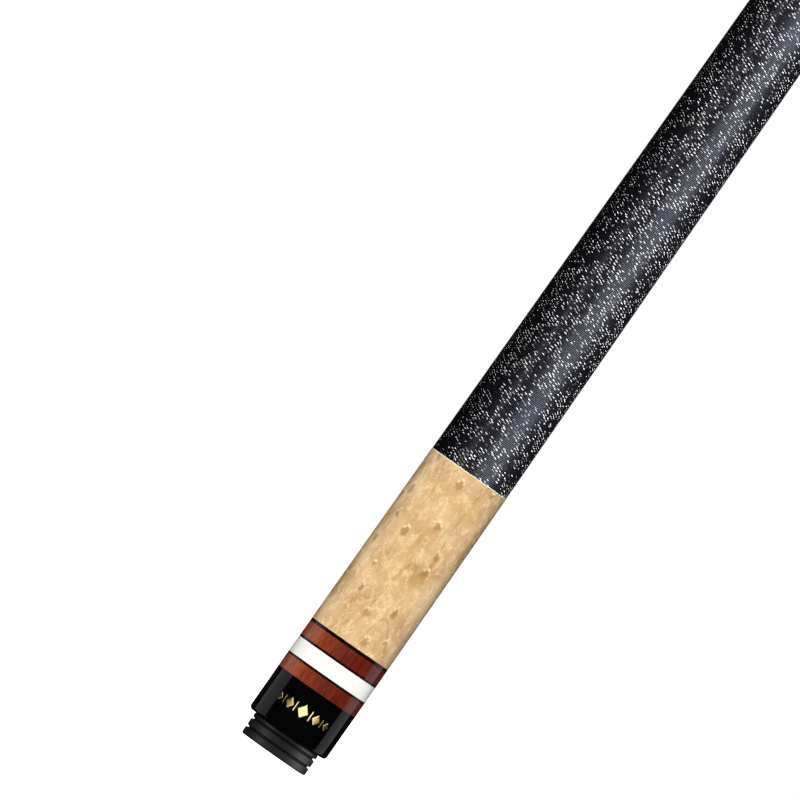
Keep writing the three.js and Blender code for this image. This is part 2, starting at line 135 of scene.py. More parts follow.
def workedSurface(look):
    # two tones and two roughnesses that follow one grain, whose size along x, y and z is in mm,
    # with slow clouds over it and a relief of the given depth
    material, tree, shader, place = newMaterial(look["name"], look["shader"])
    grain = noiseField(tree, place, look["grain"], 4)
    clouds = addNode(tree, "TexNoise", {}, {"Vector": place, "Scale": 1 / look["clouds"], "Detail": 2})[0]
    both = addNode(tree, "Mix", {}, {0: look["cloudShare"], 2: grain, 3: clouds})[0]
    lowest, highest = noiseSpan["tone"]
    tone = addNode(tree, "MapRange", {}, {"Value": both, "From Min": lowest, "From Max": highest})[0]
    colour = addNode(tree, "Mix", colourMix, {0: tone, 6: srgb(look["dark"]), 7: srgb(look["light"])})[2]
    lowest, highest = noiseSpan["wear"]
    smoothest, roughest = look["roughness"]
    wear = addNode(tree, "MapRange", {}, {"Value": both, "From Min": lowest, "From Max": highest,
                                          "To Min": smoothest, "To Max": roughest})[0]
    relief = addNode(tree, "Bump", {}, {"Height": grain, "Strength": 1, "Distance": look["relief"] * mm})[0]
    tree.links.new(colour, shader.inputs["Base Color"])
    tree.links.new(wear, shader.inputs["Roughness"])
    tree.links.new(relief, shader.inputs["Normal"])
    return material


# Each of these is one worked surface: what it is, and what its making leaves to see. Lathe and
# polishing lines run round the cue, so their grain is long across it and short along it. How
# close they lie is an estimate, chosen so that they show
workedLooks = {
    # moulded phenolic resin, turned and buffed: deep black, with a faint polishing haze
    "black_cap": {"name": "buffedPhenolicResin", "dark": "#020202", "light": "#060607",
                  "grain": (0.9, 0.9, 0.9), "clouds": 9, "cloudShare": 0.5, "roughness": (0.045, 0.075),
                  "relief": 0.0006, "shader": {"IOR": 1.5}},
    # cast resin rings, turned with the cue and polished: black glass with hardly a line in it
    "black_resin": {"name": "polishedCastResin", "dark": "#060505", "light": "#0e0d0d",
                    "grain": (300, 300, 0.12), "clouds": 6, "cloudShare": 0.4, "roughness": (0.05, 0.08),
                    "relief": 0.0004, "shader": {"IOR": 1.5}},
    # dyed fibre veneer under the lacquer: maroon black with its fine layers along the grain
    "black_trim": {"name": "lacqueredDyedVeneer", "dark": "#070303", "light": "#150707",
                   "grain": (0.4, 0.4, 3.0), "clouds": 5, "cloudShare": 0.3, "roughness": (0.3, 0.4),
                   "relief": 0.001, "shader": {"IOR": 1.5, "Specular IOR Level": 0.2, "Coat Weight": 0.8,
                                               "Coat Roughness": 0.05}},
    # cast resin, turned and polished: milky white with a slow ivory cloud
    "white_resin": {"name": "castWhiteResin", "dark": "#F3F0E8", "light": "#FBFAF8",
                    "grain": (0.8, 0.8, 2.5), "clouds": 7, "cloudShare": 0.7, "roughness": (0.09, 0.13),
                    "relief": 0.0004, "shader": {"IOR": 1.5}},
    # thermoplastic ferrule, turned, sanded round and buffed by the cloth: ivory with soft rings
    "ferrule_white": {"name": "turnedThermoplastic", "dark": "#E6E1D2", "light": "#F4F1E8",
                      "grain": (300, 300, 0.25), "clouds": 8, "cloudShare": 0.4, "roughness": (0.16, 0.26),
                      "relief": 0.0015, "shader": {"IOR": 1.5}},
    # hard maple, sealed and burnished: straight silky grain along the shaft
    "shaft_maple": {"name": "burnishedMaple", "dark": "#CDAA79", "light": "#EBD2A9",
                    "grain": (0.7, 0.7, 26), "clouds": 30, "cloudShare": 0.35, "roughness": (0.28, 0.4),
                    "relief": 0.006, "shader": {"IOR": 1.5, "Coat Weight": 0.35, "Coat Roughness": 0.12}},
    # bare turned maple, glued in: matt, with open grain
    "core_maple": {"name": "bareTurnedMaple", "dark": "#B48A55", "light": "#D8B684",
                   "grain": (0.8, 0.8, 18), "clouds": 20, "cloudShare": 0.3, "roughness": (0.55, 0.7),
                   "relief": 0.02, "shader": {"IOR": 1.5}},
    # thin silver sheet ring, polished with the rings beside it: one bright hairline
    "silver": {"name": "polishedSilver", "dark": "#DADADD", "light": "#F2F2F4",
               "grain": (300, 300, 0.05), "clouds": 4, "cloudShare": 0.3, "roughness": (0.12, 0.2),
               "relief": 0.0004, "shader": {"Metallic": 1}},
    # stainless steel, turned and polished on the lathe: hairlines run round it
    "polished_steel": {"name": "lathePolishedSteel", "dark": "#D0D0D2", "light": "#DCDCDF",
                       "grain": (300, 300, 0.1), "clouds": 14, "cloudShare": 0.5, "roughness": (0.17, 0.23),
                       "relief": 0.0003, "shader": {"Metallic": 1}},
    # steel as the screw machine left it: grey, with visible tool lines
    "machined_steel": {"name": "machinedSteel", "dark": "#8C8C90", "light": "#B9B9BE",
                       "grain": (200, 200, 0.16), "clouds": 5, "cloudShare": 0.3, "roughness": (0.26, 0.4),
                       "relief": 0.003, "shader": {"Metallic": 1}},
    # free-cutting brass, turned and tapped: warm yellow with fine turning lines
    "brass": {"name": "turnedBrass", "dark": "#B08A45", "light": "#D9B76A",
              "grain": (200, 200, 0.14), "clouds": 5, "cloudShare": 0.35, "roughness": (0.2, 0.34),
              "relief": 0.002, "shader": {"Metallic": 1}},
    # gold foil pressed on the resin: pale gold with a fine crinkle that breaks up its mirror
    "gold_foil": {"name": "pressedGoldFoil", "dark": "#D8B765", "light": "#F4E2A4",
                  "grain": (0.35, 0.35, 0.35), "clouds": 2.5, "cloudShare": 0.4, "roughness": (0.3, 0.45),
                  "relief": 0.008, "shader": {"Metallic": 1}},
    # vulcanised fibre, punched from sheet: pressed paper fluff in a red body
    "fibre": {"name": "vulcanisedFibre", "dark": "#6E1B18", "light": "#8F2F28",
              "grain": (0.5, 0.5, 0.15), "clouds": 2, "cloudShare": 0.3, "roughness": (0.5, 0.65),
              "relief": 0.01, "shader": {"IOR": 1.5}},
    # pressed hide, trimmed on the lathe and scuffed to hold chalk: matt brown, mottled and rough
    "leather": {"name": "pressedLeather", "dark": "#4E3018", "light": "#8A6038",
                "grain": (0.28, 0.28, 0.22), "clouds": 1.6, "cloudShare": 0.35, "roughness": (0.65, 0.85),
                "relief": 0.05, "shader": {"IOR": 1.5}},
    # moulded nitrile ring: matt, dark grey, slightly pebbled
    "ring_rubber": {"name": "mouldedNitrile", "dark": "#1C1C1C", "light": "#2B2B2B",
                    "grain": (0.25, 0.25, 0.25), "clouds": 2, "cloudShare": 0.3, "roughness": (0.5, 0.65),
                    "relief": 0.006, "shader": {"IOR": 1.5}},
    # moulded rubber from a spark-eroded die: an even satin grain with slow pale clouds
    "bumper_rubber": {"name": "mouldedRubber", "dark": "#121212", "light": "#1C1C1C",
                      "grain": (0.3, 0.3, 0.3), "clouds": 6, "cloudShare": 0.35, "roughness": (0.42, 0.55),
                      "relief": 0.01, "shader": {"IOR": 1.5}},
}


# figured hard maple under a thick gloss lacquer: the eyes are small swirls of darker grain, each
# with a pale crescent towards the tip, in wood that clouds slowly from cream to tan
# Sizes are in mm. A span is the part of a noise that a layer takes, and one that falls takes the low
# end. eyeAlong under 1 draws the eyes out along the cue
mapleLook = {
    "name": "lacqueredBirdseyeMaple",
    "cloudSize": 12, "cloudSpan": (0.36, 0.64), "cloudDark": "#C69962", "cloudLight": "#E7C492",
    "ringSize": (22, 22, 90), "ringCount": 9, "ringWidth": 0.06, "ringColour": "#A87C46", "ringShare": 0.5,
    "grainSize": (0.45, 0.45, 8), "grainSpan": (0.45, 0.72), "grainColour": "#BC8F57", "grainShare": 0.32,
    "grainRelief": 0.004,
    "mottleSize": (2.6, 2.6, 3.8), "mottleSpan": (0.47, 0.68), "mottleColour": "#F2D29D",
    "mottleShare": 0.6, "mottleBend": 0.8,
    "squiggleSize": (0.6, 0.6, 0.9), "squiggleSpan": (0.53, 0.62), "squiggleColour": "#FAE0B2",
    "sunkSpan": (0.47, 0.36), "sunkColour": "#C69B62", "squiggleShare": 0.42, "squiggleBend": 1.6,
    "allowedSpan": (0.4, 0.56), "leastAllowed": 0.15,
    "eyeSpacing": 5.9, "eyeScatter": 0.95, "eyeAlong": 0.72, "smallestEye": 0.5, "largestEye": 2.15,
    "eyeEdge": 0.45, "eyeWobble": 1.9, "wobblesPerMm": 0.95, "eyeColour": "#B08650",
    "eyeCentre": "#946B39", "eyeShare": 0.8,
    "crescentShift": 0.9, "crescentColour": "#FFE8BC", "crescentShare": 0.8,
    # the painted highlight line where the wood ends: its colour, and its half height in mm
    "edgeHighlightColour": "#FFF8EA", "edgeHighlightHeight": 0.3,
    "shader": {"IOR": 1.5, "Roughness": 0.5, "Specular IOR Level": 0.2, "Coat Weight": 1.0,
               "Coat Roughness": 0.04},    # wood soaked with lacquer has hardly any gloss of its own
}


def paintedEdgeHighlight(tree, place, colour, look, tops):
    # a painted highlight: a pale line at each height where the wood ends, standing in for light caught on the
    # edge
    height = addNode(tree, "SeparateXYZ", {}, {0: place})[2]
    for top in tops:
        inEdgeHighlight = addNode(tree, "Math", {"operation": "COMPARE"},
                         {0: height, 1: top, 2: look["edgeHighlightHeight"]})[0]
        colour = addNode(tree, "Mix", colourMix, {0: inEdgeHighlight, 6: colour, 7: srgb(look["edgeHighlightColour"])})[2]
    return colour


def birdseyeMaple(look):
    material, tree, shader, place = newMaterial(look["name"], look["shader"])
    clouds = addNode(tree, "TexNoise", {}, {"Vector": place, "Scale": 1 / look["cloudSize"], "Detail": 3})[0]
    lowest, highest = look["cloudSpan"]
    tone = addNode(tree, "MapRange", {}, {"Value": clouds, "From Min": lowest, "From Max": highest})[0]
    colour = addNode(tree, "Mix", colourMix,
                     {0: tone, 6: srgb(look["cloudDark"]), 7: srgb(look["cloudLight"])})[2]

    # the growth rings cut by the taper: contour lines of a slow field stretched along the cue
    field = noiseField(tree, place, look["ringSize"], 1)
    count = addNode(tree, "Math", {"operation": "MULTIPLY"}, {0: field, 1: look["ringCount"]})[0]
    swing = addNode(tree, "Math", {"operation": "PINGPONG"}, {0: count, 1: 0.5})[0]
    growthRings = addNode(tree, "MapRange", {"interpolation_type": "SMOOTHSTEP"},
                          {"Value": swing, "From Min": 0.0, "From Max": look["ringWidth"],
                           "To Min": look["ringShare"], "To Max": 0})[0]
    colour = addNode(tree, "Mix", colourMix, {0: growthRings, 6: colour, 7: srgb(look["ringColour"])})[2]

    # three layers of figure: fine grain, pale mottle, and sandy squiggles where the mottle allows
    grain = noiseField(tree, place, look["grainSize"], 5)
    lowest, highest = look["grainSpan"]
    streaks = addNode(tree, "MapRange", {}, {"Value": grain, "From Min": lowest, "From Max": highest,
                                             "To Max": look["grainShare"]})[0]
    colour = addNode(tree, "Mix", colourMix, {0: streaks, 6: colour, 7: srgb(look["grainColour"])})[2]
    mottle = noiseField(tree, place, look["mottleSize"], 2, look["mottleBend"])
    lowest, highest = look["mottleSpan"]
    patches = addNode(tree, "MapRange", {}, {"Value": mottle, "From Min": lowest, "From Max": highest,
                                             "To Max": look["mottleShare"]})[0]
    colour = addNode(tree, "Mix", colourMix, {0: patches, 6: colour, 7: srgb(look["mottleColour"])})[2]
    squiggle = noiseField(tree, place, look["squiggleSize"], 1, look["squiggleBend"])
    lowest, highest = look["allowedSpan"]
    allowed = addNode(tree, "MapRange", {}, {"Value": mottle, "From Min": lowest, "From Max": highest,
                                             "To Min": look["leastAllowed"], "To Max": 1})[0]
    for span, tint in (("squiggleSpan", "squiggleColour"), ("sunkSpan", "sunkColour")):
        lowest, highest = look[span]
        curl = addNode(tree, "MapRange", {}, {"Value": squiggle, "From Min": lowest, "From Max": highest,
                                              "To Max": look["squiggleShare"]})[0]
        curlShare = addNode(tree, "Math", {"operation": "MULTIPLY"}, {0: curl, 1: allowed})[0]
        colour = addNode(tree, "Mix", colourMix, {0: curlShare, 6: colour, 7: srgb(look[tint])})[2]

    # an eye is a ball in the wood, so the taper cuts it at any size up to its own radius; the same
    # eyes moved towards the tip show past their lower selves as crescents
    eyes = []
    for shift in (look["crescentShift"], 0):
        moved = addNode(tree, "VectorMath", {"operation": "SUBTRACT"}, {0: place, 1: (0, 0, shift)})[0]
        drawnOut = addNode(tree, "VectorMath", {"operation": "MULTIPLY"},
                           {0: moved, 1: (1, 1, look["eyeAlong"])})[0]
        wobble = addNode(tree, "TexNoise", {}, {"Vector": drawnOut, "Scale": look["wobblesPerMm"],
                                                "Detail": 2})[1]
        swerve = addNode(tree, "VectorMath", {"operation": "SCALE"},
                         {0: wobble, "Scale": look["eyeWobble"]})[0]
        eyePlace = addNode(tree, "VectorMath", {"operation": "ADD"}, {0: drawnOut, 1: swerve})[0]
        cell = addNode(tree, "TexVoronoi", {}, {"Vector": eyePlace, "Scale": 1 / look["eyeSpacing"],
                                                "Randomness": look["eyeScatter"]})
        ownRadius = addNode(tree, "MapRange", {}, {"Value": cell["Color"],
                                                   "To Min": look["smallestEye"] / look["eyeSpacing"],
                                                   "To Max": look["largestEye"] / look["eyeSpacing"]})[0]
        outwards = addNode(tree, "Math", {"operation": "DIVIDE"}, {0: cell["Distance"], 1: ownRadius})[0]
        eyes.append(addNode(tree, "MapRange", {"interpolation_type": "SMOOTHSTEP"},
                            {"Value": outwards, "From Min": look["eyeEdge"], "From Max": 1.0,
                             "To Min": 1, "To Max": 0})[0])
    halo, eye = eyes
    crescent = addNode(tree, "Math", {"operation": "SUBTRACT", "use_clamp": True}, {0: halo, 1: eye})[0]
    crescentShare = addNode(tree, "Math", {"operation": "MULTIPLY"},
                            {0: crescent, 1: look["crescentShare"]})[0]
    colour = addNode(tree, "Mix", colourMix,
                     {0: crescentShare, 6: colour, 7: srgb(look["crescentColour"])})[2]
    eyeShare = addNode(tree, "Math", {"operation": "MULTIPLY"}, {0: eye, 1: look["eyeShare"]})[0]
    eyeColour = addNode(tree, "Mix", colourMix,
                        {0: streaks, 6: srgb(look["eyeColour"]), 7: srgb(look["eyeCentre"])})[2]
    colour = addNode(tree, "Mix", colourMix, {0: eyeShare, 6: colour, 7: eyeColour})[2]
    # painted highlight lines at the sleeve's top and the forearm's top
    woodEnds = (heightsOf("butt_sleeve")[1], heightsOf("butt_thin_ring")[0])
    colour = paintedEdgeHighlight(tree, place, colour, look, woodEnds)
    relief = addNode(tree, "Bump", {}, {"Height": grain, "Strength": 1,
                                        "Distance": look["grainRelief"] * mm})[0]
    tree.links.new(colour, shader.inputs["Base Color"])
    tree.links.new(relief, shader.inputs["Normal"])
    return material


# red hardwood rings under the same lacquer: straight vertical pores, and a painted highlight: the side
# towards -x is painted paler and oranger, for the band of light that falls on that side
redLook = {
    "name": "lacqueredRedHardwood",
    "heart": "#5E1706", "heartLight": "#7E280D", "grainSize": (0.55, 0.55, 9), "grainSpan": (0.35, 0.65),
    # the painted highlight on the -x side: its colour, where it starts and ends across x in mm, and its share
    "paintedLitSide": "#B25427", "paintedLitSideFrom": 1.5, "paintedLitSideTo": -12, "paintedLitSideShare": 0.7,
    "pore": "#360B05", "poreSize": (0.22, 0.22, 3.5), "poreSpan": (0.53, 0.66), "poreShare": 0.75,
    "poreDepth": 0.005,
    "shader": {"IOR": 1.5, "Roughness": 0.45, "Specular IOR Level": 0.2, "Coat Weight": 1.0,
               "Coat Roughness": 0.04},
}


def redHardwood(look):
    material, tree, shader, place = newMaterial(look["name"], look["shader"])
    grain = noiseField(tree, place, look["grainSize"], 4)
    lowest, highest = look["grainSpan"]
    tone = addNode(tree, "MapRange", {}, {"Value": grain, "From Min": lowest, "From Max": highest})[0]
    colour = addNode(tree, "Mix", colourMix,
                     {0: tone, 6: srgb(look["heart"]), 7: srgb(look["heartLight"])})[2]
    # painted highlight: the rings turn paler and oranger towards -x
    across = addNode(tree, "SeparateXYZ", {}, {0: place})[0]
    paintedLitSide = addNode(tree, "MapRange", {"interpolation_type": "SMOOTHSTEP"},
                  {"Value": across, "From Min": look["paintedLitSideTo"], "From Max": look["paintedLitSideFrom"],
                   "To Min": look["paintedLitSideShare"], "To Max": 0})[0]
    colour = addNode(tree, "Mix", colourMix, {0: paintedLitSide, 6: colour, 7: srgb(look["paintedLitSide"])})[2]
    poreNoise = noiseField(tree, place, look["poreSize"], 2)
    lowest, highest = look["poreSpan"]
    pores = addNode(tree, "MapRange", {}, {"Value": poreNoise, "From Min": lowest, "From Max": highest,
                                           "To Max": look["poreShare"]})[0]
    colour = addNode(tree, "Mix", colourMix, {0: pores, 6: colour, 7: srgb(look["pore"])})[2]
    relief = addNode(tree, "Bump", {}, {"Height": pores, "Strength": 1,
                                        "Distance": -look["poreDepth"] * mm})[0]
    tree.links.new(colour, shader.inputs["Base Color"])
    tree.links.new(relief, shader.inputs["Normal"])
    return material


# linen thread wound wet, pressed and polished: black with a blue cast, and short white flecks
# where the white ply of the twisted thread comes to the top, lying askew to the winding
linenLook = {    # sizes in mm; fewest and most are the shares of stretches that show a fleck
    "name": "woundLinenThread",
    "pitch": 0.5,          # between turns, an estimate: real thread may be finer
    "turnLength": 85.1,    # thread in one turn, at the middle of the wrap
    "fleckSpacing": 2.62, "fleckStray": 0.1833, "fleckLength": 0.54, "fleckWidth": 0.155,
    "fleckSlant": 17, "fleckEdge": (0.7, 1.15),
    "fewest": 0.26, "most": 0.88, "patchSize": 6, "patchSpan": (0.38, 0.62),
    "thread": "#08080C", "threadLight": "#16161C", "fleckDim": "#4C4C52", "fleckBright": "#FAFAF8",
    "fuzzPerMm": 2.2, "fuzzSpan": (0.35, 0.65), "fuzzShare": 0.12, "relief": 0.06,
    "shader": {"IOR": 1.5, "Roughness": 0.38, "Coat Weight": 0.25, "Coat Roughness": 0.14},
}


def woundLinen(look):
    material, tree, shader, place = newMaterial(look["name"], look["shader"])
    # threadMap: u is the share of a turn, v counts the turns along the cue
    threadMap = addNode(tree, "UVMap", {"uv_map": "threadMap"}, {})[0]
    turn = addNode(tree, "SeparateXYZ", {}, {0: threadMap})
    number = addNode(tree, "Math", {"operation": "FLOOR"}, {0: turn[1]})[0]
    shareAbove = addNode(tree, "Math", {"operation": "SUBTRACT"}, {0: turn[1], 1: number})[0]
    above = addNode(tree, "MapRange", {}, {"Value": shareAbove, "To Min": -look["pitch"] / 2,
                                           "To Max": look["pitch"] / 2})[0]
    turns = addNode(tree, "Math", {"operation": "ADD"}, {0: number, 1: turn[0]})[0]
    # the length of thread wound so far, cut into equal stretches with room for one fleck each
    stretch = addNode(tree, "Math", {"operation": "MULTIPLY"},
                      {0: turns, 1: look["turnLength"] / look["fleckSpacing"]})[0]
    index = addNode(tree, "Math", {"operation": "FLOOR"}, {0: stretch})[0]
    chance = addNode(tree, "TexWhiteNoise", {"noise_dimensions": "1D"}, {"W": index})
    dice = addNode(tree, "SeparateXYZ", {}, {0: chance["Color"]})
    alongShare = addNode(tree, "Math", {"operation": "SUBTRACT"}, {0: stretch, 1: index})[0]
    middle = addNode(tree, "MapRange", {}, {"Value": dice[0], "To Min": 0.5 - look["fleckStray"],
                                            "To Max": 0.5 + look["fleckStray"]})[0]
    offMiddle = addNode(tree, "Math", {"operation": "SUBTRACT"}, {0: alongShare, 1: middle})[0]
    along = addNode(tree, "Math", {"operation": "MULTIPLY"}, {0: offMiddle, 1: look["fleckSpacing"]})[0]
    # an ellipse askew: its two half sizes divide the place turned by the slant
    slant = math.radians(look["fleckSlant"])
    here = addNode(tree, "CombineXYZ", {}, {0: along, 1: above})[0]
    longWay = addNode(tree, "VectorMath", {"operation": "DOT_PRODUCT"},
                      {0: here, 1: (math.cos(slant) / look["fleckLength"],
                                    -math.sin(slant) / look["fleckLength"], 0)})[1]
    shortWay = addNode(tree, "VectorMath", {"operation": "DOT_PRODUCT"},
                       {0: here, 1: (math.sin(slant) / look["fleckWidth"],
                                     math.cos(slant) / look["fleckWidth"], 0)})[1]
    bothWays = addNode(tree, "CombineXYZ", {}, {0: longWay, 1: shortWay})[0]
    reach = addNode(tree, "VectorMath", {"operation": "LENGTH"}, {0: bothWays})[1]
    inner, outer = look["fleckEdge"]
    oval = addNode(tree, "MapRange", {"interpolation_type": "SMOOTHSTEP"},
                   {"Value": reach, "From Min": inner, "From Max": outer, "To Min": 1, "To Max": 0})[0]
    # the flecks come in patches
    patches = addNode(tree, "TexNoise", {}, {"Vector": place, "Scale": 1 / look["patchSize"], "Detail": 2})[0]
    lowest, highest = look["patchSpan"]
    odds = addNode(tree, "MapRange", {}, {"Value": patches, "From Min": lowest, "From Max": highest,
                                          "To Min": look["fewest"], "To Max": look["most"]})[0]
    shown = addNode(tree, "Math", {"operation": "LESS_THAN"}, {0: dice[1], 1: odds})[0]
    fleck = addNode(tree, "Math", {"operation": "MULTIPLY"}, {0: oval, 1: shown})[0]
    fuzz = addNode(tree, "TexNoise", {}, {"Vector": place, "Scale": look["fuzzPerMm"], "Detail": 3})[0]
    lowest, highest = look["fuzzSpan"]
    threadTone = addNode(tree, "MapRange", {}, {"Value": fuzz, "From Min": lowest, "From Max": highest})[0]
    threadColour = addNode(tree, "Mix", colourMix,
                           {0: threadTone, 6: srgb(look["thread"]), 7: srgb(look["threadLight"])})[2]
    fleckColour = addNode(tree, "Mix", colourMix,
                          {0: dice[2], 6: srgb(look["fleckDim"]), 7: srgb(look["fleckBright"])})[2]
    colour = addNode(tree, "Mix", colourMix, {0: fleck, 6: threadColour, 7: fleckColour})[2]
    # each thread's round back stands out from the groove beside it: minus the square of the place
    offCrown = addNode(tree, "Math", {"operation": "DIVIDE"}, {0: above, 1: look["pitch"] / 2})[0]
    groove = addNode(tree, "Math", {"operation": "MULTIPLY"}, {0: offCrown, 1: offCrown})[0]
    fuzzHeight = addNode(tree, "Math", {"operation": "MULTIPLY"}, {0: fuzz, 1: look["fuzzShare"]})[0]
    height = addNode(tree, "Math", {"operation": "SUBTRACT"}, {0: fuzzHeight, 1: groove})[0]
    relief = addNode(tree, "Bump", {}, {"Height": height, "Strength": 1, "Distance": look["relief"] * mm})[0]
    tree.links.new(colour, shader.inputs["Base Color"])
    tree.links.new(relief, shader.inputs["Normal"])
    return material


materials = {slotName: workedSurface(look) for slotName, look in workedLooks.items()}
materials["birdseye_maple"] = birdseyeMaple(mapleLook)
materials["red_wood"] = redHardwood(redLook)
materials["linen"] = woundLinen(linenLook)
print("materials:", len(materials))


# Making a piece

def arc(middleRadius, middleHeight, size, start, end, steps=6):
    # a round corner: middle + size * (cos, sin) between two angles in degrees
    angles = np.radians(np.linspace(start, end, steps + 1))
    return np.column_stack([middleRadius + size * np.cos(angles), middleHeight + size * np.sin(angles)])


def side(bottom, top, steps=1):
    # the cue's own outside between two heights
    heights = np.linspace(bottom, top, steps + 1)
    return np.column_stack([outsideAt(heights), heights])


meshFinish = {"weld": 0.001, "sharpFrom": 32}    # mm between points that are one, and degrees


def sweep(name, radius, height, threadCount=None):
    # rows of points round the cue's axis: (radius sin a, -radius cos a, height), a from -180 to 180
    # degrees, so the seam is at the back; an outline that runs anticlockwise faces outwards
    rows, columns = radius.shape
    turn = np.linspace(0, 1, columns)
    angle = (turn - 0.5) * 2 * np.pi
    points = np.stack([radius * np.sin(angle), -radius * np.cos(angle), height], axis=-1) * mm
    corner = (np.arange(rows - 1)[:, None] * columns + np.arange(columns - 1)).reshape(-1, 1)
    faces = corner + np.array([0, 1, columns + 1, columns])
    mesh = bpy.data.meshes.new(name)
    mesh.from_pydata(points.reshape(-1, 3).tolist(), [], faces.tolist())
    if threadCount is not None:
        threadMap = mesh.uv_layers.new(name="threadMap")
        uv = np.stack([np.broadcast_to(turn, radius.shape), threadCount], axis=-1).reshape(-1, 2)
        threadMap.data.foreach_set("uv", uv[faces.ravel()].astype(np.float32).ravel())
    # the seam, the poles and doubled rows close up
    work = bmesh.new()
    work.from_mesh(mesh)
    bmesh.ops.remove_doubles(work, verts=work.verts, dist=meshFinish["weld"] * mm)
    work.to_mesh(mesh)
    work.free()
    mesh.shade_smooth()
    mesh.set_sharp_from_angle(angle=math.radians(meshFinish["sharpFrom"]))
    piece = bpy.data.objects.new(name, mesh)
    scene.collection.objects.link(piece)
    return piece


def turned(name, *outline, sides=128):
    # an outline of (radius, height) points turned about the axis
    points = np.vstack([np.atleast_2d(part) for part in outline])
    ones = np.ones(sides + 1)
    return sweep(name, points[:, :1] * ones, points[:, 1:] * ones)


def fitPiece(piece, body, slotName, *replaced):
    # its material, the body it rides on and the CAD nodes it stands in for
    piece.data.materials.append(materials[slotName])
    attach(piece, body)
    if replaced:
        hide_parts(*replaced)
    return piece


# The bumper: a rubber disc with two round grooves and a barbed plug that pushes into the cap
bumperShape = {"edge": 0.6, "grooveHeights": (2.87, 5.96), "grooveHalfWidth": 0.45, "grooveDepth": 0.95,
               "dish": 0.35, "dishRadius": 7.5, "plugRadius": 6.3, "plugNeck": 0.5, "plugEnd": 1.2,
               "plugEdge": 0.3, "barbHeights": (11, 15), "barbLength": 2.4, "barbRise": 0.8,
               "barbCrest": 0.3, "barbSlope": 0.1}


def makeBumper(shape):
    radius, edge = widestOf("bumper"), shape["edge"]
    discTop, plugTop = heightsOf("butt_cap")[0] - glueLine, heightsOf("bumper")[1]
    # the foot is flat, with a shallow dish in its middle: its depth is the square of one less the
    # square of the radius
    dishRadii = np.linspace(0, shape["dishRadius"], 8)
    dish = np.column_stack([dishRadii, shape["dish"] * (1 - (dishRadii / shape["dishRadius"]) ** 2) ** 2])
    # the side dips by a half cosine at each groove
    heights = np.linspace(edge, discTop - edge, 61)
    dip = np.zeros_like(heights)
    for middle in shape["grooveHeights"]:
        away = np.clip(np.abs(heights - middle) / shape["grooveHalfWidth"], 0, 1)
        dip += shape["grooveDepth"] * np.cos(away * np.pi / 2)
    grooved = np.column_stack([radius - dip, heights])
    plugRadius, neck = shape["plugRadius"], shape["plugRadius"] - shape["plugNeck"]
    barbs = [point for height in shape["barbHeights"]
             for point in ((neck, height), (plugRadius, height + shape["barbRise"]),
                           (plugRadius - shape["barbSlope"], height + shape["barbRise"] + shape["barbCrest"]),
                           (neck, height + shape["barbLength"]))]
    plugEdge = shape["plugEdge"]
    return turned("bumper_rubber_disc", dish, arc(radius - edge, edge, edge, -90, 0), grooved,
                  arc(radius - edge, discTop - edge, edge, 0, 90), (neck, discTop), barbs,
                  arc(plugRadius - shape["plugEnd"] - plugEdge, plugTop - plugEdge, plugEdge, 0, 90, 3),
                  (0, plugTop))


bumper = fitPiece(makeBumper(bumperShape), "bumper", "bumper_rubber", "bumper")


# The cap: a resin tube with a round foot edge, bored for the bumper's plug and the core's tenon
capShape = {"edge": 1.2, "counterboreHeight": 19.8, "counterboreRadius": 8.2, "boreEdge": 0.3}


def makeCap(shape):
    bottom, top = heightsOf("butt_cap")
    bore, outside = narrowestOf("butt_cap"), outsideAt(bottom)
    wide, step = shape["counterboreRadius"], shape["counterboreHeight"]
    # outline: a quarter round at the foot, up the cue's own side, and down the stepped bore
    return turned("cap_shell", (bore, bottom + shape["boreEdge"]), (bore + shape["boreEdge"], bottom),
                  arc(outside - shape["edge"], bottom + shape["edge"], shape["edge"], -90, 0, 8),
                  side(bottom + shape["edge"], top, 4), (wide, top), (wide, step), (bore, step),
                  (bore, bottom + shape["boreEdge"]))


fitPiece(makeCap(capShape), "butt", "black_cap", "butt_cap")

# The cap's ornament: a row of gold lozenges parted by thin bars, lying on the front of the cap.
# Each entry is (middle round the cap, half width, half height)
ornamentShape = {"height": 16.8, "lift": 0.02, "thickness": 0.05, "steps": 8,
                 "lozenges": [(0, 2.2, 2.6), (-5.2, 1.6, 2.0), (5.2, 1.6, 2.0),
                              (-9.4, 1.1, 1.5), (9.4, 1.1, 1.5)],
                 "bars": [(-7.4, 0.17, 1.5), (-2.9, 0.17, 1.9), (2.9, 0.17, 1.9), (7.4, 0.17, 1.5)]}


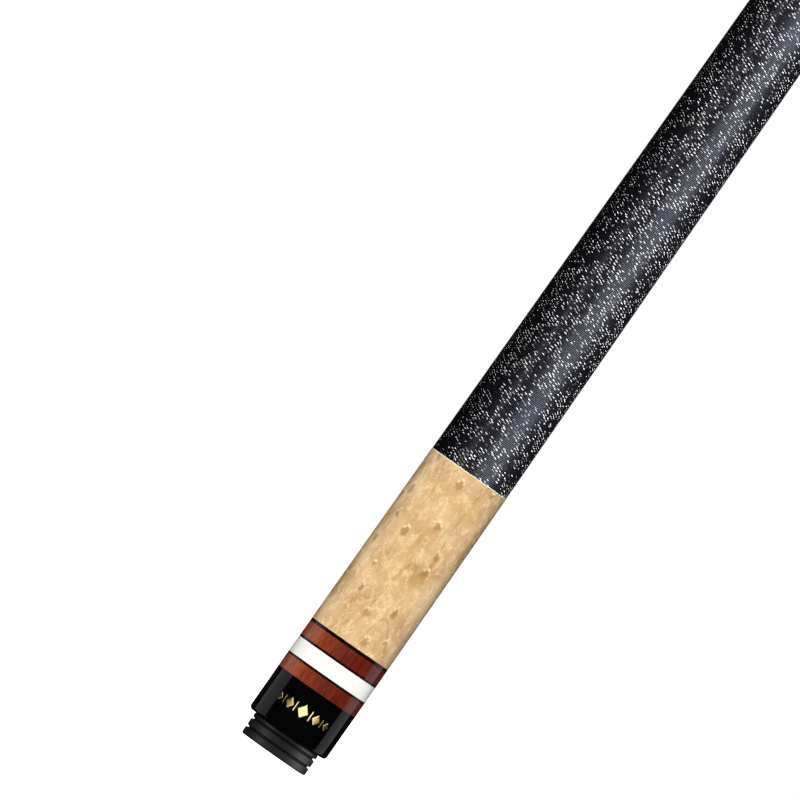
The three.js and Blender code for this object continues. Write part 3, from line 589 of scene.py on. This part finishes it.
def makeOrnament(shape):
    # a lozenge is the square (u, v) from -1 to 1 turned by 45 degrees: across (u - v) / 2 and up
    # (u + v) / 2; a bar is the square itself. Both are wrapped on the cap at round / radius
    steps = shape["steps"] + 1
    u, v = np.meshgrid(np.linspace(-1, 1, steps), np.linspace(-1, 1, steps))
    radius = outsideAt(shape["height"]) + shape["lift"]
    corner = (np.arange(steps - 1)[:, None] * steps + np.arange(steps - 1)).reshape(-1, 1)
    patch = corner + np.array([0, 1, steps + 1, steps])
    points, faces = [], []
    marks = [(mark, (u - v) / 2, (u + v) / 2) for mark in shape["lozenges"]]
    marks += [(mark, u, v) for mark in shape["bars"]]
    for (middle, halfWidth, halfHeight), across, up in marks:
        angle = (middle + halfWidth * across) / radius
        height = shape["height"] + halfHeight * up
        faces.append(patch + len(points) * steps * steps)
        points.append(np.stack([radius * np.sin(angle), -radius * np.cos(angle), height], axis=-1) * mm)
    mesh = bpy.data.meshes.new("cap_ornament")
    mesh.from_pydata(np.concatenate(points).reshape(-1, 3).tolist(), [], np.concatenate(faces).tolist())
    mesh.shade_smooth()
    ornament = bpy.data.objects.new("cap_ornament", mesh)
    scene.collection.objects.link(ornament)
    leaf = ornament.modifiers.new("leaf", "SOLIDIFY")
    leaf.thickness = shape["thickness"] * mm
    leaf.offset = 1
    return ornament


ornament = fitPiece(makeOrnament(ornamentShape), "butt", "gold_foil")
print("bumper, cap and ornament made")


# Plain rings, each between its own CAD heights and flush with the next; a bare edge is eased
ringFinish = {"red_ring_low": "red_wood", "trim_ring_low": "black_trim", "white_ring": "white_resin",
              "trim_ring_middle": "black_trim", "red_ring_top": "red_wood", "trim_ring_top": "black_trim",
              "butt_thin_ring": "black_resin", "butt_silver_ring": "silver",
              "butt_collar_ring": "black_resin", "shaft_collar_ring": "black_resin",
              "shaft_silver_ring": "silver", "shaft_thin_ring": "black_resin"}
ringEase = 0.04
ringBody = {"shaft_collar_ring": "shaft", "shaft_silver_ring": "shaft_lead", "shaft_thin_ring": "shaft"}
rings = {}
for ringName, slotName in ringFinish.items():
    bottom, top = heightsOf(ringName)
    bore = narrowestOf(ringName)
    rings[ringName] = fitPiece(
        turned(ringName + "_turned", (bore, bottom), (outsideAt(bottom) - ringEase, bottom),
               side(bottom + ringEase, top - ringEase, 2), (outsideAt(top) - ringEase, top), (bore, top),
               (bore, bottom)),
        ringBody.get(ringName, "butt"), slotName, ringName)
print("rings made:", len(rings))


# Birdseye maple: the sleeve, and the forearm with its stud socket and front tenon
mapleShape = {"topEdge": 0.18, "studDepth": 34, "studBore": 4.2, "tenonRadius": 6.9, "tenonTop": 703,
              "pinBore": 4.1, "pinBottom": 666}


def makeSleeve(shape):
    bottom, top = heightsOf("butt_sleeve")
    bore, edge = narrowestOf("butt_sleeve"), shape["topEdge"]
    # outline: up the cue's own side, in over the eased top edge, and down the bore
    return turned("sleeve_maple", (bore, bottom), side(bottom, top - edge, 12), (outsideAt(top) - edge, top),
                  (bore, top), (bore, bottom))


def makeForearm(shape):
    bottom, edge = heightsOf("forearm")[0], shape["topEdge"]
    shoulder, studTop = heightsOf("butt_thin_ring")[0] - glueLine, bottom + shape["studDepth"]
    stud, tenon, pinBore = shape["studBore"], shape["tenonRadius"], shape["pinBore"]
    # outline: down the stud's socket, up the cue's own side, up the tenon, and down the pin's bore
    return turned("forearm_maple", (0, studTop), (stud, studTop), (stud, bottom),
                  side(bottom, shoulder - edge, 40), (outsideAt(shoulder) - edge, shoulder),
                  (tenon, shoulder), (tenon, shape["tenonTop"]), (pinBore, shape["tenonTop"]),
                  (pinBore, shape["pinBottom"]), (0, shape["pinBottom"]))


fitPiece(makeSleeve(mapleShape), "butt", "birdseye_maple", "butt_sleeve")
fitPiece(makeForearm(mapleShape), "butt", "birdseye_maple", "forearm")
print("maple made")


# The wrap: one thread wound from the sleeve to the forearm, in a rear and a front half
wrapShape = {"threadDepth": 0.13, "rowsPerTurn": 4, "sides": 72}


def woundRows(bottom, top, pitch, rowsPerTurn, columns):
    # height rises one pitch in a turn, and rows past either end lie on that end
    turn = np.linspace(0, 1, columns)
    rows = np.arange(-rowsPerTurn, math.ceil((top - bottom) / pitch) * rowsPerTurn + 1)
    return np.clip(bottom + (rows[:, None] / rowsPerTurn + turn) * pitch, bottom, top), turn


def makeWrap(name, bottom, top, firstTurn, wall, shape, pitch):
    # rows wound one pitch a turn, closed by a straight wall inside
    heights, turn = woundRows(bottom, top, pitch, shape["rowsPerTurn"], shape["sides"] + 1)
    count = (heights - firstTurn) / pitch - turn
    # a thread's round back is the sine of its share of the pitch
    outer = outsideAt(heights) - shape["threadDepth"] * (1 - np.abs(np.sin(count * np.pi)))
    innerTop, innerBottom = outsideAt(top) - wall, outsideAt(bottom) - wall
    ones = np.ones((1, shape["sides"] + 1))
    radius = np.vstack([innerBottom * ones, outer, innerTop * ones, innerBottom * ones])
    height = np.vstack([bottom * ones, heights, top * ones, bottom * ones])
    count = np.vstack([count[:1], count, count[-1:], count[:1]])
    return sweep(name, radius, height, count)


wrapBottom, wrapTop = heightsOf("linen_wrap")
wrapWall = outsideAt(wrapTop) - narrowestOf("linen_wrap")
wrapMiddle = (wrapBottom + wrapTop) / 2
wrapHalves = {"wrap_rear": (wrapBottom, wrapMiddle), "wrap_front": (wrapMiddle, wrapTop)}
wraps = [makeWrap(name, bottom, top, wrapBottom, wrapWall, wrapShape, linenLook["pitch"])
         for name, (bottom, top) in wrapHalves.items()]
for wrap in wraps:
    fitPiece(wrap, "butt", "linen", "linen_wrap")
print("wrap wound:", sum(len(wrap.data.polygons) for wrap in wraps), "faces")


# The joint: a steel collar with a recess for the pilot, and the pin with its thread
jointShape = {"edge": 0.3, "mouth": 0.4, "recessRadius": 7.65, "recessDepth": 6.7, "bottomEdge": 0.12}
pinShape = {"pitch": 25.4 / 14, "turns": 13, "threadBottom": 703.4, "root": 2.87, "crest": 3.97,
            "rowsPerTurn": 14, "sides": 64, "anchorRadius": 3.9, "anchorTop": 702.7, "anchorRows": 76,
            "anchorEdge": 0.2, "grooves": 4, "grooveStart": 0.4, "grooveDepth": 0.5, "noseTaper": 1.2,
            "toothShare": (0, 0.17, 0.52, 0.65, 1), "toothHeight": (0, 0, 1, 1, 0), "startTurn": 0.75}


def makeCollar(shape):
    bottom, top = heightsOf("joint_collar")
    bore, outside = narrowestOf("joint_collar"), outsideAt((bottom + top) / 2)
    recess, floor = shape["recessRadius"], top - shape["recessDepth"]
    # outline: up the straight side, over a quarter round, and down the pilot's recess to the bore
    return turned("collar_steel", (bore, bottom), (outside - shape["bottomEdge"], bottom),
                  (outside, bottom + shape["bottomEdge"]), (outside, (bottom + top) / 2),
                  arc(outside - shape["edge"], top - shape["edge"], shape["edge"], 0, 90, 4),
                  (recess + shape["mouth"], top), (recess, top - shape["mouth"]), (recess, floor),
                  (bore, floor), (bore, bottom))


def threadRadius(heights, turn, fade, shape):
    # root + tooth, where the tooth depends on the height's share of the pitch less the share of a turn
    share = ((heights - shape["threadBottom"]) / shape["pitch"] - turn + shape["startTurn"]) % 1
    tooth = np.interp(share, shape["toothShare"], shape["toothHeight"])
    return shape["root"] + (shape["crest"] - shape["root"]) * tooth * fade


def makePin(shape):
    bottom, top = heightsOf("joint_pin")
    threadTop = shape["threadBottom"] + shape["turns"] * shape["pitch"]
    columns = shape["sides"] + 1
    ones = np.ones((1, columns))
    heights, turn = woundRows(shape["threadBottom"], threadTop, shape["pitch"], shape["rowsPerTurn"], columns)
    # the tooth fades to nothing over one turn at each end
    fade = np.clip(np.minimum(heights - shape["threadBottom"], threadTop - heights) / shape["pitch"], 0, 1)
    thread = threadRadius(heights, turn, fade, shape)
    # the anchor's side dips by a triangle at each glue groove
    anchorHeights = np.linspace(bottom, shape["anchorTop"], shape["anchorRows"])
    grooveCount = (anchorHeights - bottom) / (shape["anchorTop"] - bottom) * (shape["grooves"] + 1)
    offGroove, start = np.abs(grooveCount % 1 - 0.5), shape["grooveStart"]
    dip = np.clip((offGroove - start) / (0.5 - start), 0, 1)
    anchor = shape["anchorRadius"] - shape["grooveDepth"] * dip
    anchor[[0, -1]] = shape["anchorRadius"] - shape["anchorEdge"]
    root, taper = shape["root"], shape["noseTaper"]
    radius = np.vstack([0 * ones, anchor[:, None] * ones, root * ones, thread, root * ones,
                        (root - taper) * ones, 0 * ones])
    height = np.vstack([bottom * ones, anchorHeights[:, None] * ones,
                        (shape["anchorTop"] + shape["anchorEdge"]) * ones, heights,
                        (top - taper) * ones, top * ones, top * ones])
    return sweep("joint_pin_thread", radius, height)


# The insert: a pilot that fills the collar's recess, a plain body in the shaft, tapped right through
insertShape = {"pilotRadius": 7.45, "edge": 0.5, "bodyRadius": 6.2, "shoulderGap": 0.1, "threadRoom": 0.18}


def makeInsert(shape, thread):
    bottom, top = heightsOf("shaft_insert")
    pilot, body, edge = shape["pilotRadius"], shape["bodyRadius"], shape["edge"]
    shoulder = heightsOf("shaft_collar_ring")[0] + shape["shoulderGap"]
    columns = thread["sides"] + 1
    ones = np.ones((1, columns))
    heights, turn = woundRows(bottom, top, thread["pitch"], thread["rowsPerTurn"], columns)
    # up the pilot and the body outside, and down a bore that is the pin's thread and some room
    bore = (threadRadius(heights, turn, 1, thread) + shape["threadRoom"])[::-1]
    outside = np.array([(pilot - edge, bottom), (pilot, bottom + edge), (pilot, shoulder),
                        (body, shoulder), (body, top)])
    radius = np.vstack([bore[-1:], outside[:, :1] * ones, bore])
    height = np.vstack([bottom * ones, outside[:, 1:] * ones, heights[::-1]])
    return sweep("insert_brass", radius, height)


collar = fitPiece(makeCollar(jointShape), "butt", "polished_steel", "joint_collar")
pin = fitPiece(makePin(pinShape), "butt", "machined_steel", "joint_pin")
insert = fitPiece(makeInsert(insertShape, pinShape), "shaft", "brass", "shaft_insert")
print("joint made")


# The shaft, its ferrule, pad and tip
shaftShape = {"noseBore": 3.57, "insertBore": 6.4, "boreStep": 728.2, "boreTop": 734, "rearFace": 710.4,
              "rearTenon": 8.4, "frontTenon": 4, "frontTenonLength": 20.8, "tenonRoom": 0.2,
              "ferruleEdge": 0.06}
tipShape = {"padEdge": 0.05, "domeRadius": 9.5, "footEdge": 0.25, "domeSteps": 12}
shaftSides = 96


def makeShaft(shape):
    ringTop = heightsOf("shaft_thin_ring")[1] + glueLine
    shoulder = heightsOf("ferrule")[0] - glueLine
    nose, bore, tenon = shape["noseBore"], shape["insertBore"], shape["rearTenon"]
    tenonTop = shoulder + shape["frontTenonLength"]
    # outline: down the stepped bore, up the rear tenon and the cue's own side, and in to the front tenon
    return turned("shaft_maple_stick", (0, shape["boreTop"]), (nose, shape["boreTop"]),
                  (nose, shape["boreStep"]), (bore, shape["boreStep"]), (bore, shape["rearFace"]),
                  (tenon, shape["rearFace"]), (tenon, ringTop), side(ringTop, shoulder, 120),
                  (shape["frontTenon"], shoulder), (shape["frontTenon"], tenonTop), (0, tenonTop),
                  sides=shaftSides)


def makeFerrule(shape):
    bottom, top = heightsOf("ferrule")
    room, edge = shape["tenonRoom"], shape["ferruleEdge"]
    bore, boreTop = shape["frontTenon"] + room, bottom + shape["frontTenonLength"] + room
    # outline: a cup, down its bore, up the cue's own side and over the closed end
    return turned("ferrule_cap", (0, boreTop), (bore, boreTop), (bore, bottom), side(bottom, top - edge, 4),
                  (outsideAt(top) - edge, top), (0, top), sides=shaftSides)


def makePad(shape):
    bottom, top = heightsOf("tip_pad")
    outside, edge = widestOf("tip_pad"), shape["padEdge"]
    # outline: a disc with both edges eased
    return turned("tip_pad_disc", (0, bottom), (outside - edge, bottom), (outside, bottom + edge),
                  (outside, top - edge), (outside - edge, top), (0, top), sides=shaftSides)


def makeTip(shape):
    # straight sides under a dome that is part of a sphere
    bottom, top = heightsOf("leather_tip")
    outside = widestOf("leather_tip")
    edgeAngle = math.degrees(math.acos(outside / shape["domeRadius"]))
    dome = arc(0, top - shape["domeRadius"], shape["domeRadius"], edgeAngle, 90, shape["domeSteps"])
    return turned("leather_tip_dome", (0, bottom), (outside - shape["footEdge"], bottom),
                  (outside, bottom + shape["footEdge"]), dome, (0, top), sides=shaftSides)


fitPiece(makeShaft(shaftShape), "shaft", "shaft_maple", "shaft_wood")
fitPiece(makeFerrule(shaftShape), "shaft", "ferrule_white", "ferrule")
fitPiece(makePad(tipShape), "shaft", "fibre", "tip_pad")
fitPiece(makeTip(tipShape), "shaft", "leather", "leather_tip")
print("shaft made")

# CAD nodes whose shape is already right keep it, and get their material
for nodeName, slotName in {"handle_core": "core_maple", "a_joint_stud": "machined_steel",
                           "weight_bolt": "machined_steel", "bolt_ring": "ring_rubber"}.items():
    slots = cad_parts[nodeName].data.materials
    slots.clear()
    slots.append(materials[slotName])


# Floor, world, lights and camera

stageLook = {"floorHeight": -14.5,    # below the foot, with room for the bumper to be pulled out
             "floorSize": 12000, "floorColour": "#F2F2F0", "floorGlow": 1.0, "floorRoughness": 0.9,
             "background": 1.0, "ambient": 0.03, "mirrored": 0.01}


def makeStage(look):
    half, level = look["floorSize"] / 2 * mm, look["floorHeight"] * mm
    mesh = bpy.data.meshes.new("floor")
    mesh.from_pydata([(-half, -half, level), (half, -half, level), (half, half, level), (-half, half, level)],
                     [], [(0, 1, 2, 3)])
    floor = bpy.data.objects.new("floor", mesh)
    scene.collection.objects.link(floor)
    # matt paper sweep that glows white for the camera and lights nothing
    paper, _, shader, _ = newMaterial("matPaperSweep", {"Roughness": look["floorRoughness"],
                                                        "Specular IOR Level": 0.0})
    shader.inputs["Base Color"].default_value = srgb(look["floorColour"])
    shader.inputs["Emission Color"].default_value = srgb("#FFFFFF")
    shader.inputs["Emission Strength"].default_value = look["floorGlow"]
    mesh.materials.append(paper)
    floor.visible_glossy = False
    floor.visible_diffuse = False

    # the world: white behind the cue, a faint even light on it, almost dark in its reflections
    world = bpy.data.worlds.new("softRoom")
    world.use_nodes = True
    scene.world = world
    tree = world.node_tree
    rays = addNode(tree, "LightPath", {}, {})
    onCue = addNode(tree, "Mix", {}, {0: rays["Is Glossy Ray"], 2: look["ambient"], 3: look["mirrored"]})[0]
    strength = addNode(tree, "Mix", {}, {0: rays["Is Camera Ray"], 2: onCue, 3: look["background"]})[0]
    tree.links.new(strength, tree.nodes["Background"].inputs["Strength"])
    tree.nodes["Background"].inputs["Color"].default_value = srgb("#FFFFFF")


def receiverGroup(name, objects):
    group = bpy.data.collections.new(name)
    for thing in objects:
        group.objects.link(thing)
    return group


# Panels stand round the cue, each middle level with the cue's. Fills stand farther out, because a
# panel hides another in the same plane
panelShape = {"glossDistance": 2000, "fillDistance": 2400, "height": 4400, "middle": 724}


def softbox(name, bearing, halfAngle, brightness, receivers, tint="#FFFFFF", fill=False, shape=panelShape):
    # an upright panel at a bearing round the cue, 0 in front and positive to the right, wide enough
    # to fill twice its half angle; a fill only lights surfaces, and the others only mirror in them
    distance = shape["fillDistance"] if fill else shape["glossDistance"]
    turn = math.radians(bearing)
    panel = bpy.data.lights.new(name, "AREA")
    panel.shape = "RECTANGLE"
    panel.size = 2 * distance * math.tan(math.radians(halfAngle)) * mm
    panel.size_y = shape["height"] * mm
    panel.energy = brightness * 4 * panel.size * panel.size_y    # watts grow with the panel's area
    panel.color = srgb(tint)[:3]
    light = bpy.data.objects.new(name, panel)
    scene.collection.objects.link(light)
    light.location = (distance * mm * math.sin(turn), -distance * mm * math.cos(turn), shape["middle"] * mm)
    light.rotation_euler = (math.radians(90), 0, turn)
    light.visible_camera = False
    light.visible_diffuse = fill
    light.visible_glossy = not fill
    light.light_linking.receiver_collection = receivers
    return light


makeStage(stageLook)
meshes = [thing for thing in scene.objects if thing.type == "MESH"]
cuePieces = [thing for thing in meshes if thing.name != "floor"]
steelPieces = [collar, pin, insert, rings["butt_silver_ring"], rings["shaft_silver_ring"],
               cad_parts["weight_bolt"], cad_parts["a_joint_stud"]]
withOwnPanels = set(wraps + steelPieces + [ornament, bumper])
glossGroup = receiverGroup("glossPieces", [piece for piece in cuePieces if piece not in withOwnPanels])
wrapGroup = receiverGroup("wrapPieces", wraps)
rubberGroup = receiverGroup("rubberPieces", [bumper])
steelGroup = receiverGroup("steelPieces", steelPieces)
goldGroup = receiverGroup("goldPieces", [ornament])
edgeGroup = receiverGroup("edgePieces", [piece for piece in cuePieces if piece not in wraps])
roomGroup = receiverGroup("roomPieces", [thing for thing in meshes if thing not in wraps])

# name, bearing and half angle in degrees, brightness, and what it lights
softbox("frontFill", 0, 32, 2.95, roomGroup, fill=True)
softbox("leftFill", -108, 28, 1.15, roomGroup, fill=True)
softbox("rightFill", 112, 28, 1.0, roomGroup, fill=True)
softbox("backFill", 183, 30, 1.5, roomGroup, fill=True)
softbox("leftStrip", -100, 24, 0.36, glossGroup, "#F2F2FF")
softbox("rightStrip", 106, 18.5, 0.42, glossGroup, "#F2F2FF")
softbox("wrapFill", 21, 20, 7.6, wrapGroup, fill=True)
softbox("wrapRearFill", 186, 26, 2.6, wrapGroup, fill=True)
softbox("wrapKey", 41, 32, 6.4, wrapGroup, "#E6EAFF")
softbox("wrapStrip", -36, 8, 3.0, wrapGroup)
softbox("rubberLeft", -58, 12, 1.5, rubberGroup)
softbox("rubberRight", 84, 24, 1.9, rubberGroup)
softbox("goldKey", 4, 32, 1.7, goldGroup)
# round the steel, panel beside panel, each (bearing, half angle, brightness): two white bands with
# softer neighbours, and a dark one in front
steelBands = [(-134, 44, 0.32), (-80, 9, 0.6), (-62, 9, 1.6), (-44, 9, 0.7), (-28, 7, 0.28), (0, 21, 0.1),
              (30, 9, 0.28), (52, 13, 0.45), (78, 13, 0.3), (101, 10, 1.4), (146, 34, 0.55)]
for number, (bearing, halfAngle, brightness) in enumerate(steelBands):
    softbox("steelBand" + str(number), bearing, halfAngle, brightness, steelGroup)
# one more lies above the tip and looks straight down, for the edges that face up
ceilingHeight = 3400
ceiling = softbox("ceiling", 0, 30, 2.2, edgeGroup)
ceiling.location = (0, 0, ceilingHeight * mm)
ceiling.rotation_euler = (0, 0, 0)

# a camera far in front of the butt, rolled so that the cue leans to the right
cameraLook = {"lens": 850, "sensor": 36, "place": (-31.5, -6020, 115.65), "lean": 35, "farthest": 100000}
camera = bpy.data.objects.new("camera", bpy.data.cameras.new("camera"))
camera.data.lens = cameraLook["lens"]
camera.data.sensor_width = cameraLook["sensor"]
camera.data.clip_end = cameraLook["farthest"] * mm
camera.location = [part * mm for part in cameraLook["place"]]
camera.rotation_euler = (math.radians(90), math.radians(-cameraLook["lean"]), 0)
scene.collection.objects.link(camera)
scene.camera = camera
scene.view_settings.view_transform = "Standard"
print("stage set")
